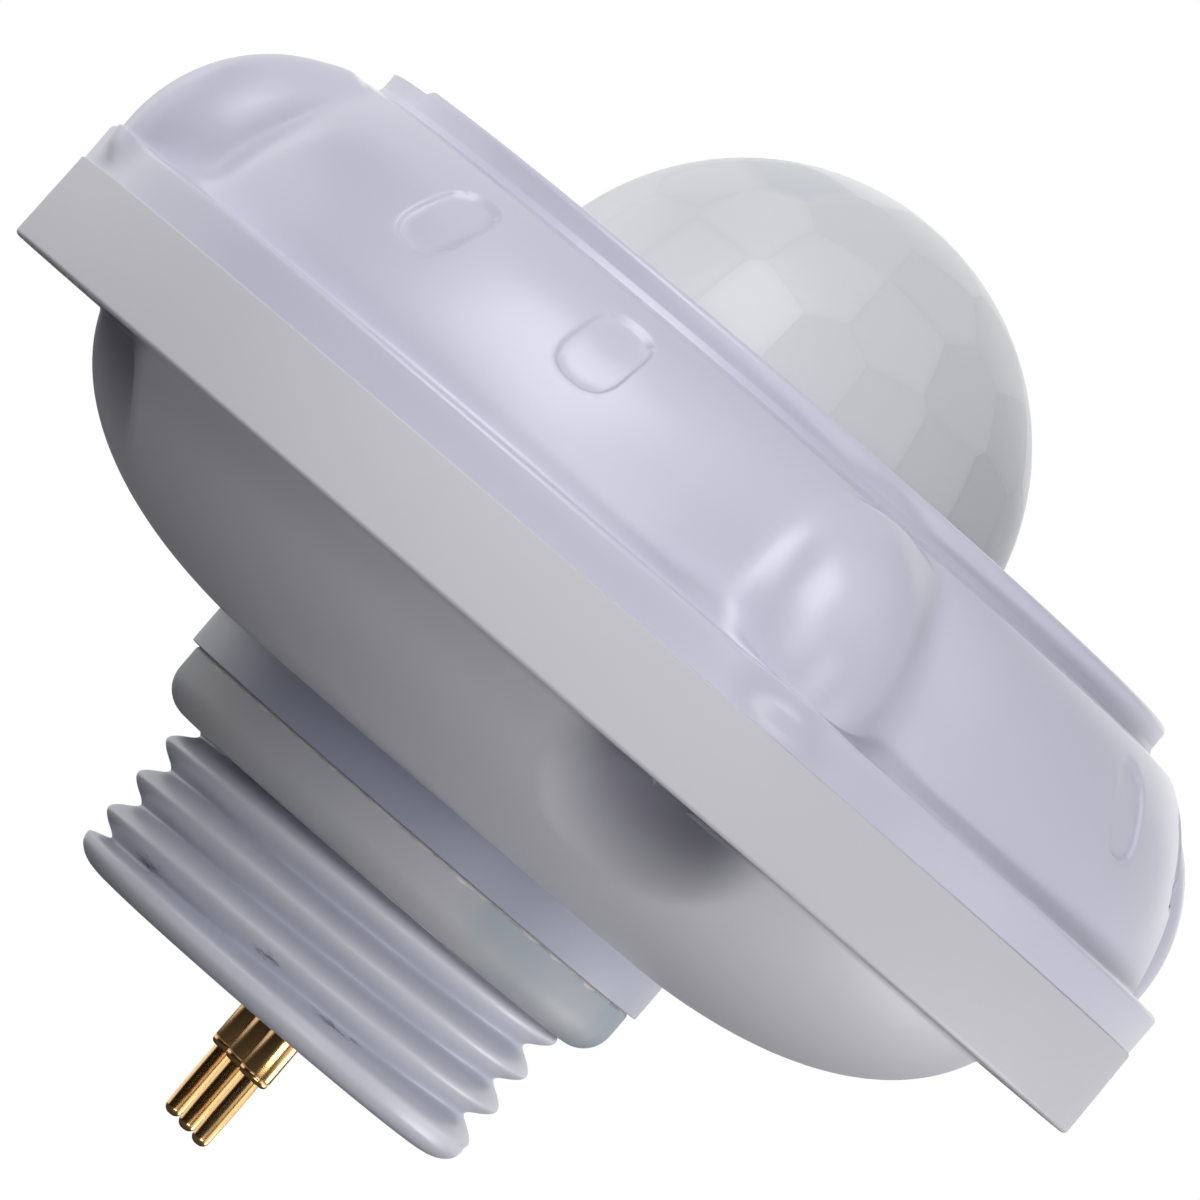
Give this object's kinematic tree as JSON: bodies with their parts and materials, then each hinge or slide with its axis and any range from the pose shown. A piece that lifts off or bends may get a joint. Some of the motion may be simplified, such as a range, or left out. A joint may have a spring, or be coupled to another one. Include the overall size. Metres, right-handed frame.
{
  "type": "screw-in motion sensor",
  "caption": "Screw-in passive infrared motion sensor with a faceted dome lens, round housing, threaded spigot with gasket, and spring contact pins.",
  "frame": {"origin": "on the thread's axis, at the underside of the gasket, which seats on the luminaire", "axes": "+Z along the thread's axis towards the lens, -Y towards the screw lobe over the row of contact pins"},
  "size_m": [0.0926, 0.0926, 0.0778],
  "materials": {
    "cover_plastic": "satin, bluish white",
    "lens_plastic": "milky, smooth outside and faceted inside",
    "housing_plastic": "satin, grey white",
    "spigot_plastic": "satin, bluish white, with smudges in the thread",
    "gasket_rubber": "matt grey",
    "seal_rubber": "matt black",
    "nylon": "plain white",
    "gold": "gold plated, polished",
    "spring_steel": "bright wire",
    "screw_steel": "zinc plated",
    "board_laminate": "green solder mask",
    "relay_case": "blue",
    "capacitor_sleeve": "black sleeve",
    "film_case": "yellow case",
    "varistor_coat": "blue epoxy",
    "fuse_case": "brown",
    "connector_plastic": "black",
    "terminal_plastic": "green",
    "insulation_blue": "blue insulation",
    "insulation_red": "red insulation",
    "insulation_black": "black insulation",
    "can_nickel": "nickel plated",
    "infrared_window": "dark filter",
    "clear_epoxy": "clear",
    "chip_epoxy": "black"
  },
  "bodies": {
    "housing": {"cover": "cover_plastic", "lens_bezel": "cover_plastic", "fresnel_lens": "lens_plastic", "lens_seal": "seal_rubber", "lower_housing": "housing_plastic", "housing_seal": "seal_rubber", "housing_screws": "screw_steel", "threaded_spigot": "spigot_plastic", "spigot_gasket": "gasket_rubber", "spigot_nut": "nylon", "pin_carrier": "nylon", "barrel_centre": "gold", "barrel_middle": "gold", "barrel_outer": "gold", "spring_centre": "spring_steel", "spring_middle": "spring_steel", "spring_outer": "spring_steel", "lead_neutral": "insulation_blue", "lead_switched": "insulation_red", "lead_live": "insulation_black", "lead_terminal": "terminal_plastic", "main_board": "board_laminate", "board_screws": "screw_steel", "relay": "relay_case", "storage_capacitor": "capacitor_sleeve", "dropper_capacitor": "film_case", "varistor": "varistor_coat", "fuse": "fuse_case", "link_socket": "connector_plastic", "link_header": "connector_plastic", "sensor_board": "board_laminate", "sensor_board_screws": "screw_steel", "pir_can": "can_nickel", "pir_window": "infrared_window", "light_sensor": "clear_epoxy", "controller_chip": "chip_epoxy"},
    "contact_centre": {"plunger_centre": "gold"},
    "contact_middle": {"plunger_middle": "gold"},
    "contact_outer": {"plunger_outer": "gold"}
  },
  "joints": [
    {"name": "centre_contact_slide", "type": "slide", "parent": "housing", "child": "contact_centre", "axis": [0, 0, 1], "range_m": [0, 0.002], "stiffness_N_per_m": 400, "springref_m": -0.001, "deforming": ["spring_centre"]},
    {"name": "middle_contact_slide", "type": "slide", "parent": "housing", "child": "contact_middle", "axis": [0, 0, 1], "range_m": [0, 0.002], "stiffness_N_per_m": 400, "springref_m": -0.001, "deforming": ["spring_middle"]},
    {"name": "outer_contact_slide", "type": "slide", "parent": "housing", "child": "contact_outer", "axis": [0, 0, 1], "range_m": [0, 0.002], "stiffness_N_per_m": 400, "springref_m": -0.001, "deforming": ["spring_outer"]}
  ]
}
